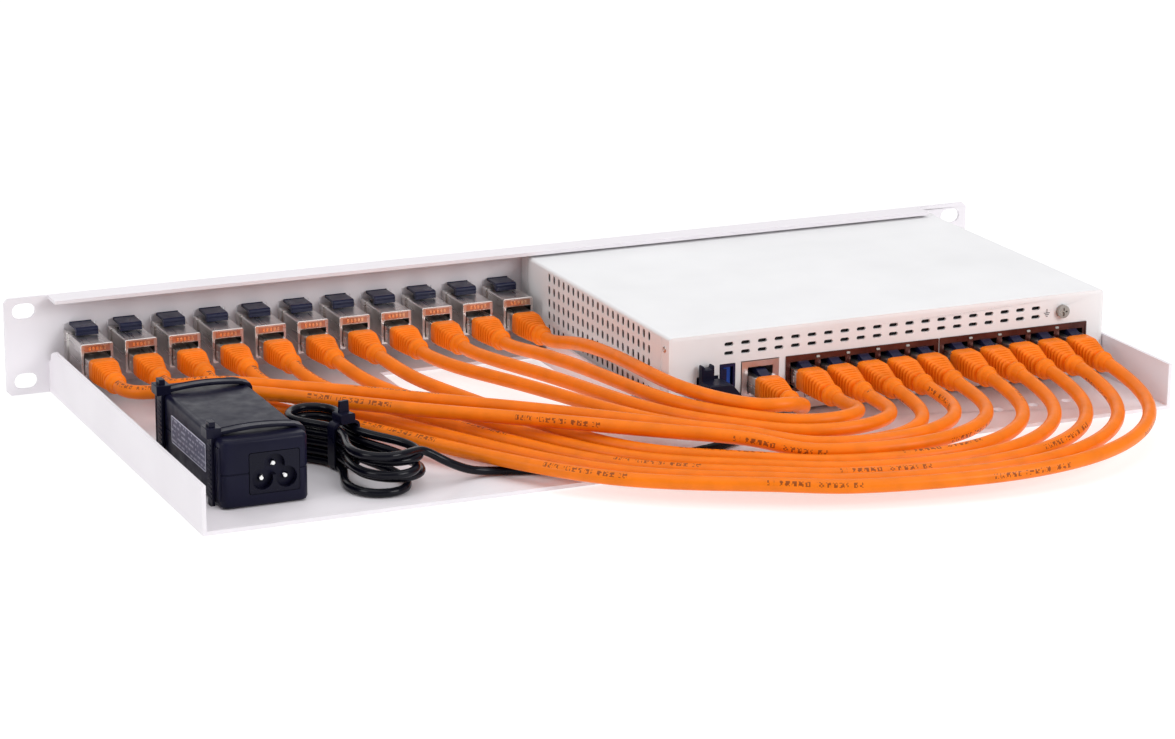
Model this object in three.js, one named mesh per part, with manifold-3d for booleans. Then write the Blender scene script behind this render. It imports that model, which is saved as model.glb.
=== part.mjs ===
// A one-unit rack assembly: a sheet-steel tray with a 19-inch front panel carries a desktop
// firewall, eleven feed-through network couplers, the patch leads between them, and the
// firewall's power adapter with its folded lead.
// Axes while building: X across the rack, Y from the panel's rear face (0) to the open rear
// edge, Z up from the tray's underside. The group is shifted at the end, so that the origin
// is the middle of the footprint.
import * as THREE from 'three';
import { mergeVertices } from 'three/addons/utils/BufferGeometryUtils.js';
import Module from 'manifold-3d';

const wasm = await Module();
wasm.setup();

// ---- driving dimensions, mm ----
const PANEL_WIDTH = 482.6;        // 19-inch rack panel
const PANEL_HEIGHT = 44;          // one rack unit less clearance
const SHEET = 1.6;                // tray and panel steel
const HOLE_PITCH_X = 465.1;
const HOLE_PITCH_Z = 31.75;
const SLOT = { width: 10.5, height: 7 };
const TRAY = { width: 444, depth: 215, wall: 20.4 };
const LIP = { x0: -214.5, x1: 221.5, depth: 11 };
const WELL = { x0: 3, x1: 79, y0: 33, y1: 150 };     // opening in the tray floor
const TAB = { thick: 1.4, y0: 46, y1: 138, height: 12 };
const GAP = 0.3;

const COUPLER = { count: 11, first: 207.5, pitch: 19.9, width: 14.1, z0: 12.6, z1: 27.1, y0: -2.4, y1: 26 };
const JACK = { width: 12.1, height: 8.6, depth: 11.5 };
const PLUG_Z = 17.6;              // middle of the plugs in the couplers

const BOX = { x0: -219.9, x1: -3.9, y0: 0.6, y1: 160.6, z0: 3.2, z1: 41.2, wall: 1 };
const PORT_Z = 17.3;              // middle of the plugs in the firewall
const PORTS = [-47.4, -67.9, -82.7, -97.5, -112.3, -127.1, -144.1, -158.9, -173.7, -188.5, -203.3];
const CONSOLE_JACK = { x0: -56.3, x1: -38.5 };
const BLOCKS = [{ x0: -135, x1: -60.1, first: 1 }, { x0: -211, x1: -136.3, first: 6 }];
const JACK_Z = { low: 11.5, high: 27.2 };
const BOARD_Z = 8;
const USB = { x0: -35.3, x1: -28.3, z0: 11.8, z1: 27 };
const DC_INLET = { x0: -27.2, x1: -17.4, z0: 10.4, z1: 22.4 };
const DC_AXIS = { x: -22.3, z: 16.4 };
const SCREW = { x: -198.3, z: 33.4 };
const RESET = { x: -12.4, z: 16.5 };
const VENT = { zs: [35.9, 31.9], first: -32.3, pitch: 8.03, count: 20, width: 4.4, height: 1.7 };
const HEAT_SINK = { x0: -130, x1: -86, y0: 60, y1: 104, foot: 14, top: 26, fins: 8 };
const LIGHTS = { first: -179.9, pitch: 9, count: 14, z: 27.2, radius: 1 };

const BRICK = { x0: 170.3, x1: 206.9, y0: 105, y1: 193.7, z0: 1.9, z1: 30 };
const BRICK_CABLE = { x: 188, z: 10 };   // where the low-voltage lead leaves the adapter
const INLET = { x0: 174.2, x1: 198.2, z0: 6.6, z1: 25.4, depth: 16 };
const INLET_PINS = [[0, 3.4], [-5, -2.6], [5, -2.6]];
const TIE = { ys: [118, 183], width: 4.8, thick: 1.3 };
const HANK = { from: [151, 122], to: [132, 204], width: 26, z0: 1.9, z1: 20 };

const CORD_Z = 16.5;              // the leads' height where they leave their boots
const LEAD = { radius: 3, boot: 58, portBoot: 194 };
const DC = { radius: 1.8 };

// ---- materials ----
const paint = (color, roughness, metalness) =>
  new THREE.MeshStandardMaterial({ color, roughness, metalness });
const TRAY_PAINT = paint(0xe6e0e4, 0.45, 0.1);
const BOX_PAINT = paint(0xeeeeec, 0.4, 0.1);
const NICKEL = paint(0xb9b4ad, 0.3, 0.9);
const NAVY = paint(0x1e2440, 0.4, 0);
const ORANGE = paint(0xf27a1f, 0.45, 0);
const BLACK = paint(0x15162b, 0.4, 0);
const BOARD_GREEN = paint(0x1d5a38, 0.6, 0);
const ALUMINIUM = paint(0xa8abad, 0.4, 0.9);
const RUBBER = paint(0x17171a, 0.8, 0);
const BLUE = paint(0x1f4fb0, 0.5, 0);

// ---- solids ----
function solid(geometry) {
  const g = geometry.clone();
  g.deleteAttribute('normal');
  g.deleteAttribute('uv');
  const merged = mergeVertices(g, 1e-4);
  return new wasm.Manifold(new wasm.Mesh({
    numProp: 3,
    vertProperties: new Float32Array(merged.attributes.position.array),
    triVerts: new Uint32Array(merged.index.array),
  }));
}

function geometryOf(manifold) {
  const mesh = manifold.getMesh();
  const g = new THREE.BufferGeometry();
  g.setAttribute('position', new THREE.BufferAttribute(new Float32Array(mesh.vertProperties), 3));
  g.setIndex(new THREE.BufferAttribute(new Uint32Array(mesh.triVerts), 1));
  return g;
}

function block(x0, x1, y0, y1, z0, z1) {
  const g = new THREE.BoxGeometry(x1 - x0, y1 - y0, z1 - z0);
  return solid(g.translate((x0 + x1) / 2, (y0 + y1) / 2, (z0 + z1) / 2));
}

// A box whose far end in +Y is scaled by sx, sz and lifted by dz.
function taper(x0, x1, y0, y1, z0, z1, sx, sz, dz = 0) {
  const g = new THREE.BoxGeometry(x1 - x0, y1 - y0, z1 - z0);
  const p = g.attributes.position;
  for (let i = 0; i < p.count; i += 1) {
    if (p.getY(i) > 0) p.setXYZ(i, p.getX(i) * sx, p.getY(i), p.getZ(i) * sz + dz);
  }
  return solid(g.translate((x0 + x1) / 2, (y0 + y1) / 2, (z0 + z1) / 2));
}

// A round rod along one axis, from a to b on it.
function rod(axis, a, b, u, v, radius, sides = 12) {
  const g = new THREE.CylinderGeometry(radius, radius, b - a, sides);
  const mid = (a + b) / 2;
  if (axis === 'x') return solid(g.rotateZ(Math.PI / 2).translate(mid, u, v));
  if (axis === 'y') return solid(g.translate(u, mid, v));
  return solid(g.rotateX(Math.PI / 2).translate(u, v, mid));
}

// An outline in the XZ plane, extruded along Y from y0 to y1.
function plateXZ(points, y0, y1) {
  const shape = new THREE.Shape(points.map(([x, z]) => new THREE.Vector2(x, z)));
  const g = new THREE.ExtrudeGeometry(shape, { depth: y1 - y0, bevelEnabled: false });
  return solid(g.rotateX(Math.PI / 2).translate(0, y1, 0));
}

// An outline in the YZ plane, extruded along X from x0 to x1.
function plateYZ(points, x0, x1) {
  const shape = new THREE.Shape(points.map(([y, z]) => new THREE.Vector2(y, z)));
  const g = new THREE.ExtrudeGeometry(shape, { depth: x1 - x0, bevelEnabled: false });
  return solid(g.rotateX(Math.PI / 2).rotateZ(Math.PI / 2).translate(x0, 0, 0));
}

// A slot with round ends, long in X, cut through in Y.
function slotTool(cx, cz, width, height, y0, y1) {
  const points = [];
  const r = height / 2;
  const straight = width / 2 - r;
  for (let i = 0; i <= 6; i += 1) {
    const a = -Math.PI / 2 + (Math.PI * i) / 6;
    points.push([cx + straight + r * Math.cos(a), cz + r * Math.sin(a)]);
  }
  for (let i = 0; i <= 6; i += 1) {
    const a = Math.PI / 2 + (Math.PI * i) / 6;
    points.push([cx - straight + r * Math.cos(a), cz + r * Math.sin(a)]);
  }
  return plateXZ(points, y0, y1);
}

const union = (parts) => parts.reduce((a, b) => a.add(b));
const cut = (body, tools) => tools.reduce((a, b) => a.subtract(b), body);

// ---- cord routes ----
// A smooth curve through a hand-set list: a uniform cubic B-spline that starts and ends on
// the first and last points.
class Route extends THREE.Curve {
  constructor(points) {
    super();
    const p = points.map((q) => new THREE.Vector3(...q));
    this.points = [p[0], p[0], ...p, p[p.length - 1], p[p.length - 1]];
  }

  getPoint(t) {
    const spans = this.points.length - 3;
    const i = Math.min(Math.floor(t * spans), spans - 1);
    const u = t * spans - i;
    const weights = [(1 - u) ** 3, 3 * u ** 3 - 6 * u * u + 4,
      -3 * u ** 3 + 3 * u * u + 3 * u + 1, u ** 3];
    const out = new THREE.Vector3();
    weights.forEach((w, j) => out.addScaledVector(this.points[i + j], w / 6));
    return out;
  }
}

// Where the leads lie as they fan in from the couplers: the outermost and the innermost
// lead at seven stations, and every lead's slot between them, counted from the outside.
const OUTER = [[161, 87], [134, 120], [112, 154], [88, 195], [62, 232], [32, 254], [0, 271]];
const INNER = [[5.5, 87], [3.5, 112], [2.5, 135], [2, 157], [0, 174], [-5, 189], [-13, 201]];
const SETTLE = [0.62, 0.85, 0.95, 1, 1, 0.95, 0.85];
const SLOTS = [5, 6, 0, 1, 2, 3, 4, 7, 8, 9, 10];
const FAN_Z = [8.8, 8.9, 9.2, 10, 11.2, 18.6, 18.8, 16.5, 17.9, 20.6, 25];
const BELLY_Z = [8.8, 9, 9.5, 10, 11, 14, 15, 12.8, 17, 19.4, 23.5];
// The two leads nearest the rack ear pass in front of the power adapter, over the others.
const OVER = [
  [[201, 74, 17], [185, 79, 18.5], [168, 89, 18.6], [150, 104, 18.6], [132, 121, 18.6],
    [110, 142, 18.6], [84, 163, 18.6], [60, 182, 18.6]],
  [[183, 71.5, 18], [174, 77, 19.6], [162.5, 82.5, 19.6], [150, 89.5, 18.8], [137, 99, 18.8],
    [122, 110.5, 18.8], [104, 127, 18.8], [80, 148, 18.8], [52, 172, 18.8]],
];

const couplerX = (k) => COUPLER.first - COUPLER.pitch * k;
const portOf = (k) => 10 - SLOTS[k];

// The last stretch: a quarter of an ellipse round and back into firewall port i.
function hookPoints(i, z) {
  const x = PORTS[i];
  const back = i ? 221 + 7.2 * i : 213;
  const reach = i ? 15.6 + 8.4 * i : 18;
  const start = 200;
  const points = [90, 72, 54, 36, 18].map((degrees) => {
    const a = (degrees * Math.PI) / 180;
    const bulge = i ? 3 * Math.sin(2 * a) : 0;
    return [x + reach - reach * Math.cos(a) - bulge, start + (back - start) * Math.sin(a),
      z + (15.5 - z) * ((90 - degrees) / 90) ** 2];
  });
  return [...points, [x, start, 16], [x, LEAD.portBoot, CORD_Z]];
}

function leadPoints(k) {
  const x = couplerX(k);
  const slot = SLOTS[k];
  const points = [[x, LEAD.boot, CORD_Z], [x, 66, k < 2 || k > 4 ? CORD_Z : 15.2]];
  if (k < 2) points.push(...OVER[k]);
  for (let n = k < 2 ? 5 : 0; n < 7; n += 1) {
    const late = Math.min(1, n / 4);
    const u = k < 2 ? slot / 10 : ((k - 2) / 8) * (1 - late) + (slot / 10) * late;
    points.push([
      OUTER[n][0] + (INNER[n][0] - OUTER[n][0]) * u,
      OUTER[n][1] + (INNER[n][1] - OUTER[n][1]) * u,
      k < 2 ? FAN_Z[slot] : CORD_Z + (FAN_Z[slot] - CORD_Z) * SETTLE[n],
    ]);
  }
  const z = BELLY_Z[slot];
  const hook = hookPoints(portOf(k), z);
  const [x0, y0] = points[points.length - 1];
  const [x1, y1] = hook[0];
  const steps = Math.round((x0 - x1) / 24);
  for (let j = 1; j <= steps; j += 1) {
    const f = j / (steps + 1);
    points.push([x0 + (x1 - x0) * f, y1 - (y1 - y0) * (1 - f) ** 2 * 0.9, z]);
  }
  return [...points, ...hook];
}

function tube(points, radius, sides, step) {
  const route = new Route(points);
  const section = new THREE.Shape();
  for (let i = 0; i < sides; i += 1) {
    const a = (2 * Math.PI * i) / sides;
    const [u, v] = [radius * Math.cos(a), radius * Math.sin(a)];
    if (i) section.lineTo(u, v);
    else section.moveTo(u, v);
  }
  section.closePath();
  const steps = Math.round(route.getLength() / step);
  return solid(new THREE.ExtrudeGeometry(section, { steps, bevelEnabled: false, extrudePath: route }));
}

// ---- the tray and its panel ----
function makeTray() {
  const half = PANEL_WIDTH / 2;
  const w = TRAY.width / 2;
  const ear = 2;
  const panel = plateXZ([
    [-half + ear, 0], [half - ear, 0], [half, ear], [half, PANEL_HEIGHT - ear],
    [half - ear, PANEL_HEIGHT], [-half + ear, PANEL_HEIGHT], [-half, PANEL_HEIGHT - ear],
    [-half, ear],
  ], -SHEET, 0);
  const lip = block(LIP.x0, LIP.x1, -0.5, LIP.depth, PANEL_HEIGHT - SHEET, PANEL_HEIGHT);
  const floor = block(-w, w, -0.5, TRAY.depth, 0, SHEET);
  const wallOutline = [[-0.5, 0], [TRAY.depth, 0], [TRAY.depth, TRAY.wall], [9, TRAY.wall],
    [4, TRAY.wall - 2], [2, TRAY.wall - 6], [-0.5, TRAY.wall - 6]];
  const walls = [plateYZ(wallOutline, w - SHEET, w), plateYZ(wallOutline, -w, -w + SHEET)];
  const tab = block(WELL.x0 - TAB.thick, WELL.x0, TAB.y0, TAB.y1, 0.5, TAB.height + SHEET);
  const holes = [];
  for (const sx of [-1, 1]) {
    for (const sz of [-1, 1]) {
      holes.push(slotTool((sx * HOLE_PITCH_X) / 2, PANEL_HEIGHT / 2 + (sz * HOLE_PITCH_Z) / 2,
        SLOT.width, SLOT.height, -5, 5));
    }
  }
  for (let k = 0; k < COUPLER.count; k += 1) {
    const x = couplerX(k);
    const h = COUPLER.width / 2 + GAP;
    holes.push(block(x - h, x + h, -5, 5, COUPLER.z0 - GAP, COUPLER.z1 + 3.2));
  }
  holes.push(block(BOX.x0 + 8, BOX.x1 - 8, -5, 5, BOX.z0 + 3, BOX.z1 - 3));
  holes.push(block(WELL.x0, WELL.x1, WELL.y0, WELL.y1, -1, 5));
  for (const x of [-149, -167, -184]) holes.push(rod('z', -1, 5, x, 191, 2.5));
  for (const y of TIE.ys) {
    for (const x of [BRICK.x0 - TIE.thick / 2 - GAP, BRICK.x1 + TIE.thick / 2 + GAP]) {
      const [a, b] = [TIE.thick / 2 + 2 * GAP, TIE.width / 2 + 2 * GAP];
      holes.push(block(x - a, x + a, y - b, y + b, -1, 5));
    }
  }
  return cut(union([panel, lip, floor, ...walls]), holes).add(tab);
}

// ---- couplers and their latch clips ----
function makeCoupler(x) {
  const h = COUPLER.width / 2;
  const body = block(x - h, x + h, COUPLER.y0, COUPLER.y1, COUPLER.z0, COUPLER.z1);
  const j = JACK.width / 2;
  const z0 = PLUG_Z - JACK.height / 2 + 1;
  const z1 = PLUG_Z + JACK.height / 2 + 0.4;
  const flange = block(x - h - 1.6, x + h + 1.6, COUPLER.y0, -SHEET - GAP, COUPLER.z0 - 1.6,
    COUPLER.z1 - 1);
  return cut(body.add(flange), [
    block(x - j, x + j, COUPLER.y0 - 1, COUPLER.y0 + JACK.depth, z0, z1),
    block(x - j, x + j, COUPLER.y1 - JACK.depth, COUPLER.y1 + 1, COUPLER.z0 + 0.9, COUPLER.z1 - 3.2),
  ]);
}

// A springy L: its leg stands on the coupler and its top plate snaps behind the panel's edge.
function makeLatch(x) {
  const base = COUPLER.z1 + GAP;
  const top = 31;
  return plateYZ([
    [9.4, base], [12, base], [12, top - 1.6], [11, top - 0.3], [9.5, top], [0.6, top],
    [0.6, top - 1.2], [8.4, top - 1.3], [9.2, top - 2],
  ], x - 5, x + 5);
}

// ---- patch leads: two moulded plugs on one cord ----
function makePlug(x, z, face, boot) {
  const inside = 10;
  const nose = block(x - 5.7, x + 5.7, face - inside, face + 4, z - 3.8, z + 3.8);
  const grip = taper(x - 5.9, x + 5.9, face + 3, boot - 5, z - 5.3, z + 4.4, 0.82, 0.86, CORD_Z - z);
  const collar = rod('y', boot - 6, boot, x, CORD_Z, 4.3, 10);
  return union([nose, grip, collar]);
}

function makeLead(k) {
  const points = leadPoints(k);
  points[0] = [points[0][0], LEAD.boot - 2, points[0][2]];
  points[points.length - 1] = [PORTS[portOf(k)], LEAD.portBoot - 2, CORD_Z];
  return union([
    tube(points, LEAD.radius, 8, 12),
    makePlug(couplerX(k), PLUG_Z, COUPLER.y1, LEAD.boot),
    makePlug(PORTS[portOf(k)], PORT_Z, BOX.y1 + 0.4, LEAD.portBoot),
  ]);
}

// ---- the firewall ----
function makeBase() {
  const { x0, x1, y0, y1, z0, z1, wall } = BOX;
  const [a, b] = [x0 + wall + GAP, x1 - wall - GAP];
  const floor = block(a, b, y0 + 1, y1, z0, z0 + 1.2);
  const rear = block(a, b, y1 - 1.2, y1, z0, z1 - wall - GAP);
  const posts = [];
  for (const x of [x0 + 12, x1 - 12]) {
    for (const y of [22, 138]) posts.push(rod('z', z0 + 1, BOARD_Z - GAP, x, y, 3, 10));
  }
  const holes = [];
  const openings = [CONSOLE_JACK, ...BLOCKS, USB, DC_INLET];
  for (const o of openings) {
    holes.push(block(o.x0 - GAP, o.x1 + GAP, y1 - 4, y1 + 4, (o.z0 ?? JACK_Z.low) - GAP,
      (o.z1 ?? JACK_Z.high) + GAP));
  }
  for (const z of VENT.zs) {
    for (let i = 0; i < VENT.count; i += 1) {
      holes.push(slotTool(VENT.first - VENT.pitch * i, z, VENT.width, VENT.height, y1 - 4, y1 + 4));
    }
  }
  holes.push(rod('y', y1 - 4, y1 + 4, SCREW.x, SCREW.z, 1.9, 12));
  holes.push(rod('y', y1 - 4, y1 + 4, RESET.x, RESET.z, 1.8, 12));
  return cut(union([floor, rear, ...posts]), holes);
}

function makeCover() {
  const { x0, x1, y0, y1, z0, z1, wall } = BOX;
  const top = block(x0, x1, y0 + 7.3, y1, z1 - wall, z1);
  return union([top, block(x0, x0 + wall, y0 + 7.3, y1, z0, z1),
    block(x1 - wall, x1, y0 + 7.3, y1, z0, z1)]);
}

function makeBezel() {
  const { x0, x1, y0, z0, z1, wall } = BOX;
  const outer = block(x0, x1, y0, y0 + 7, z0, z1);
  const hollow = block(x0 + 2, x1 - 2, y0 + 2, y0 + 8, z0 + 2, z1 - wall - 1);
  const floorGap = block(x0 - 1, x1 + 1, y0 + 0.7, y0 + 8, z0 - 1, z0 + 1.5);
  const lights = [];
  for (let i = 0; i < LIGHTS.count; i += 1) {
    lights.push(rod('y', y0 - 1, y0 + 4, LIGHTS.first + i * LIGHTS.pitch, LIGHTS.z, LIGHTS.radius, 8));
  }
  return cut(outer, [hollow, floorGap, ...lights]);
}

function makeBoard() {
  return block(BOX.x0 + 4, BOX.x1 - 4, 12, 158, BOARD_Z, BOARD_Z + 1.6);
}

function makeHeatSink() {
  const { x0, x1, y0, y1, foot, top, fins } = HEAT_SINK;
  const points = [[x0, BOARD_Z + 2], [x1, BOARD_Z + 2], [x1, top]];
  const pitch = (x1 - x0) / (fins - 0.5);
  for (let i = fins - 1; i > 0; i -= 1) {
    const right = x0 + i * pitch;
    points.push([right, top], [right, foot], [right - pitch / 2, foot], [right - pitch / 2, top]);
  }
  points.push([x0, top]);
  return plateXZ(points, y0, y1);
}

function jackHole(x) {
  const face = BOX.y1 + 0.4;
  const j = JACK.width / 2;
  return block(x - j, x + j, face - JACK.depth, face + 1, PORT_Z - 4.4, PORT_Z + 7.3);
}

function makePortBlock({ x0, x1 }, centres) {
  const body = block(x0, x1, BOX.y1 - 17, BOX.y1 + 0.4, JACK_Z.low, JACK_Z.high);
  return cut(body, centres.map(jackHole));
}

function makeUsb() {
  const face = BOX.y1 + 0.4;
  const body = block(USB.x0, USB.x1, face - 14, face, USB.z0, USB.z1);
  const mouth = block(USB.x0 + 1, USB.x1 - 1, face - 10, face + 1, USB.z0 + 1, USB.z1 - 1);
  return body.subtract(mouth).add(block(USB.x1 - 3.4, USB.x1 - 1.6, face - 11, face - 1,
    USB.z0 + 2.2, USB.z1 - 2.2));
}

function makeDcInlet() {
  const face = BOX.y1 + 0.3;
  const body = block(DC_INLET.x0, DC_INLET.x1, face - 13, face, DC_INLET.z0, DC_INLET.z1);
  return body.subtract(rod('y', face - 10, face + 1, DC_AXIS.x, DC_AXIS.z, 3.1, 14));
}

// The adapter's low-voltage plug: a barrel and a wedge-shaped grip that turns the cord down.
function makeDcPlug() {
  const barrel = rod('y', BOX.y1 - 8, BOX.y1 + 3, DC_AXIS.x, DC_AXIS.z, 2.7, 12);
  const grip = plateXZ([[-17.4, 20], [-17.6, 28.7], [-20.4, 28.7], [-20.8, 26.6], [-22.8, 26.6],
    [-23.2, 28.7], [-25.6, 28.7], [-27.2, 22], [-38.8, 7], [-28, 6.2], [-20.5, 12]],
  BOX.y1 + 1.6, BOX.y1 + 13);
  return barrel.add(grip);
}

function makeScrew() {
  const head = rod('y', BOX.y1 + 0.2, BOX.y1 + 2, SCREW.x, SCREW.z, 3, 16);
  const shank = rod('y', BOX.y1 - 5, BOX.y1 + 0.5, SCREW.x, SCREW.z, 1.5, 10);
  const cross = [[1.9, 0.35], [0.35, 1.9]].map(([u, v]) => block(SCREW.x - u, SCREW.x + u,
    BOX.y1 + 1.2, BOX.y1 + 3, SCREW.z - v, SCREW.z + v));
  return cut(head.add(shank), cross);
}

function makeReset() {
  return union([rod('y', BOX.y1 - 8, BOX.y1 - 0.4, RESET.x, RESET.z, 1.4, 12),
    block(RESET.x - 2.4, RESET.x + 2.4, BOX.y1 - 10, BOX.y1 - 6, RESET.z - 2.4, RESET.z + 2.4)]);
}

// ---- the power adapter ----
function makeBrick() {
  const { x0, x1, y0, y1, z0, z1 } = BRICK;
  const c = 2;
  const outline = (d) => [[x0 + d, z0 + c], [x0 + c, z0 + d], [x1 - c, z0 + d], [x1 - d, z0 + c],
    [x1 - d, z1 - c], [x1 - c, z1 - d], [x0 + c, z1 - d], [x0 + d, z1 - c]];
  const shell = plateXZ(outline(0), y0, y1);
  const inside = plateXZ(outline(2), y0 + 2, y1 - 2);
  const mouth = block(INLET.x0 - GAP, INLET.x1 + GAP, y1 - 4, y1 + 1, INLET.z0 - GAP,
    INLET.z1 + GAP);
  const relief = rod('y', y0 - 9, y0 + 1, BRICK_CABLE.x, BRICK_CABLE.z, 3.4, 10);
  return cut(shell, [inside, mouth]).add(relief);
}

function makeInlet() {
  const y1 = BRICK.y1 + 0.2;
  const cx = (INLET.x0 + INLET.x1) / 2;
  const cz = (INLET.z0 + INLET.z1) / 2;
  const body = block(INLET.x0, INLET.x1, y1 - INLET.depth, y1, INLET.z0, INLET.z1);
  const lobes = INLET_PINS.map(([u, v]) => rod('y', y1 - 12, y1 + 1, cx + u, cz + v, 4.6, 16));
  const posts = INLET_PINS.map(([u, v]) => rod('y', y1 - 13, y1 - 2, cx + u, cz + v, 1.2, 8));
  return union([cut(body, [union(lobes)]), ...posts]);
}

function makeBrickBoard() {
  return block(BRICK.x0 + 4, BRICK.x1 - 4, BRICK.y0 + 4, BRICK.y1 - 19, 6, 7.6);
}

// A strap over the adapter, down both sides and into the tray's slots.
function makeTie(y) {
  const { x0, x1, z1 } = BRICK;
  const [g, t, w] = [GAP, TIE.thick, TIE.width / 2];
  const middle = (x0 + x1) / 2;
  const [top, foot] = [z1 + g, 0.2];
  const points = [[x0 - g - t, foot], [x0 - g, foot], [x0 - g, z1 - 1.5], [x0 + 1.7, top],
    [middle, top + 1.3], [x1 - 1.7, top], [x1 + g, z1 - 1.5], [x1 + g, foot], [x1 + g + t, foot],
    [x1 + g + t, z1 - 1], [x1 - 0.8, top + t], [middle, top + t + 1.4], [x0 + 0.8, top + t],
    [x0 - g - t, z1 - 1]];
  const head = block(x1 - 2, x1 + g + t + 2.2, y - 3, y + 3, top + 0.4, top + 4.2);
  return plateXZ(points, y - w, y + w).add(head);
}

// ---- the adapter's folded lead ----
function hankOutline(width) {
  const a = new THREE.Vector2(...HANK.from);
  const b = new THREE.Vector2(...HANK.to);
  const along = b.clone().sub(a).normalize();
  const r = width / 2;
  const shape = new THREE.Shape();
  const start = Math.atan2(along.y, along.x);
  const c0 = a.clone().addScaledVector(along, r);
  const c1 = b.clone().addScaledVector(along, -r);
  shape.absarc(c1.x, c1.y, r, start - Math.PI / 2, start + Math.PI / 2);
  shape.absarc(c0.x, c0.y, r, start + Math.PI / 2, start + (3 * Math.PI) / 2);
  return shape;
}

function makeHank() {
  const depth = HANK.z1 - HANK.z0;
  const g = new THREE.ExtrudeGeometry(hankOutline(HANK.width),
    { depth, bevelEnabled: false, curveSegments: 6 });
  return cut(solid(g.translate(0, 0, HANK.z0)), [hankTieSolid(0.3)]);
}

// The tie is a band round the hank's waist; `extra` makes the seat that it needs.
function hankTieSolid(extra) {
  const [cx, cy] = [(HANK.from[0] + HANK.to[0]) / 2 + 3, (HANK.from[1] + HANK.to[1]) / 2 - 13];
  const angle = Math.atan2(HANK.to[1] - HANK.from[1], HANK.to[0] - HANK.from[0]);
  const height = HANK.z1 - HANK.z0;
  const make = (w, h, l) => new THREE.BoxGeometry(l, w, h).rotateZ(angle)
    .translate(cx, cy, (HANK.z0 + HANK.z1) / 2);
  const outer = solid(make(HANK.width + 1.6, height + 0.4, 6 + 2 * extra));
  const inner = solid(make(HANK.width - 2 - 2 * extra, height - 2.4 - 2 * extra, 12));
  return outer.subtract(inner);
}

// The adapter's lead before and after its folded part.
const DC_START = [[188, 95, 10], [188, 87, 8.4], [184, 78, 4.4], [174, 73, 3.8], [163, 77, 3.8],
  [156, 88, 3.8], [153, 102, 3.8], [151.5, 112, 4.4], [151, 121.5, 5]];
const DC_END = [[120.5, 199, 4.4], [110, 200.5, 3.7], [95, 200, 3.6], [71, 200, 3.6], [45, 203, 3.6],
  [20, 203, 3.6], [0, 200, 3.6], [-15, 196, 3.6], [-27, 190, 4], [-33, 183, 6], [-33.5, 174.6, 8.6]];

// ---- assembly ----
const group = new THREE.Group();
group.position.y = -(TRAY.depth + COUPLER.y0) / 2;

function add(name, manifold, material) {
  const mesh = new THREE.Mesh(geometryOf(manifold), material);
  mesh.name = name;
  group.add(mesh);
}

const two = (n) => String(n).padStart(2, '0');

add('rack_tray', makeTray(), TRAY_PAINT);
for (let k = 0; k < COUPLER.count; k += 1) {
  add(`coupler_${two(k + 1)}`, makeCoupler(couplerX(k)), NICKEL);
  add(`coupler_latch_${two(k + 1)}`, makeLatch(couplerX(k)), NAVY);
  add(`patch_lead_${two(k + 1)}`, makeLead(k), ORANGE);
}

add('firewall_base', makeBase(), BOX_PAINT);
add('firewall_cover', makeCover(), BOX_PAINT);
add('firewall_bezel', makeBezel(), BOX_PAINT);
add('main_board', makeBoard(), BOARD_GREEN);
add('heat_sink', makeHeatSink(), ALUMINIUM);
add('console_jack', makePortBlock(CONSOLE_JACK, [PORTS[0]]), NICKEL);
BLOCKS.forEach((b, i) => add(`port_block_${'ab'[i]}`,
  makePortBlock(b, PORTS.slice(b.first, b.first + 5)), NICKEL));
add('usb_port', makeUsb(), BLUE);
add('dc_inlet', makeDcInlet(), BLACK);
add('ground_screw', makeScrew(), NICKEL);
add('reset_button', makeReset(), BLACK);
for (const [sx, x] of [['left', BOX.x1 - 22], ['right', BOX.x0 + 22]]) {
  for (const [sy, y] of [['front', 22], ['rear', 140]]) {
    add(`foot_${sy}_${sx}`, rod('z', SHEET + 0.1, BOX.z0 - 0.1, x, y, 6, 16), RUBBER);
  }
}

add('adapter_case', makeBrick(), BLACK);
add('mains_inlet', makeInlet(), BLACK);
add('adapter_board', makeBrickBoard(), BOARD_GREEN);
TIE.ys.forEach((y, i) => add(`adapter_tie_${['front', 'rear'][i]}`, makeTie(y), BLACK));
add('dc_lead_start', tube(DC_START, DC.radius, 8, 5), BLACK);
add('dc_lead_hank', makeHank(), BLACK);
add('dc_lead_end', tube(DC_END, DC.radius, 8, 6), BLACK);
add('hank_tie', hankTieSolid(0), BLACK);
add('dc_plug', makeDcPlug(), BLACK);

export default group;
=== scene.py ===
"""A one-unit rack tray that carries a desktop firewall, eleven feed-through couplers, the patch
leads between them, and the firewall's power adapter with its folded lead.

The shapes here are written in millimetres on the axes the part was built on: X across the
rack, Y from the front panel's rear face towards the open rear edge, Z up from the tray's
underside. place() turns such a point into metres in the row frame.
"""
import math
import random

import bmesh
import bpy
import numpy as np
from mathutils import Euler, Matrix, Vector


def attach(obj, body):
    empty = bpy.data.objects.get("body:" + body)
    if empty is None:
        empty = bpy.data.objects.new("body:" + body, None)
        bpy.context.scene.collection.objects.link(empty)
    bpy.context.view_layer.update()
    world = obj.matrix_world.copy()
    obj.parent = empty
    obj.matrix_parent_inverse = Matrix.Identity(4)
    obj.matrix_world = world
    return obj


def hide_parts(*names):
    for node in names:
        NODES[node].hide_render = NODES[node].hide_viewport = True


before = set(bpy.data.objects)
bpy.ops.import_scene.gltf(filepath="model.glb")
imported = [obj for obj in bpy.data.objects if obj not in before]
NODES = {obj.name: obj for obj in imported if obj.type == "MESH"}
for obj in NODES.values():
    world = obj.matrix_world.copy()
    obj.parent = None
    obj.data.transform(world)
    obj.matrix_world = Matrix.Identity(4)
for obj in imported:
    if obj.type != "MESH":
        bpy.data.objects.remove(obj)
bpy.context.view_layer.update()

MM = 0.001
ROW_Y = -106.3                 # the row frame's Y is measured from mid-footprint
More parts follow.
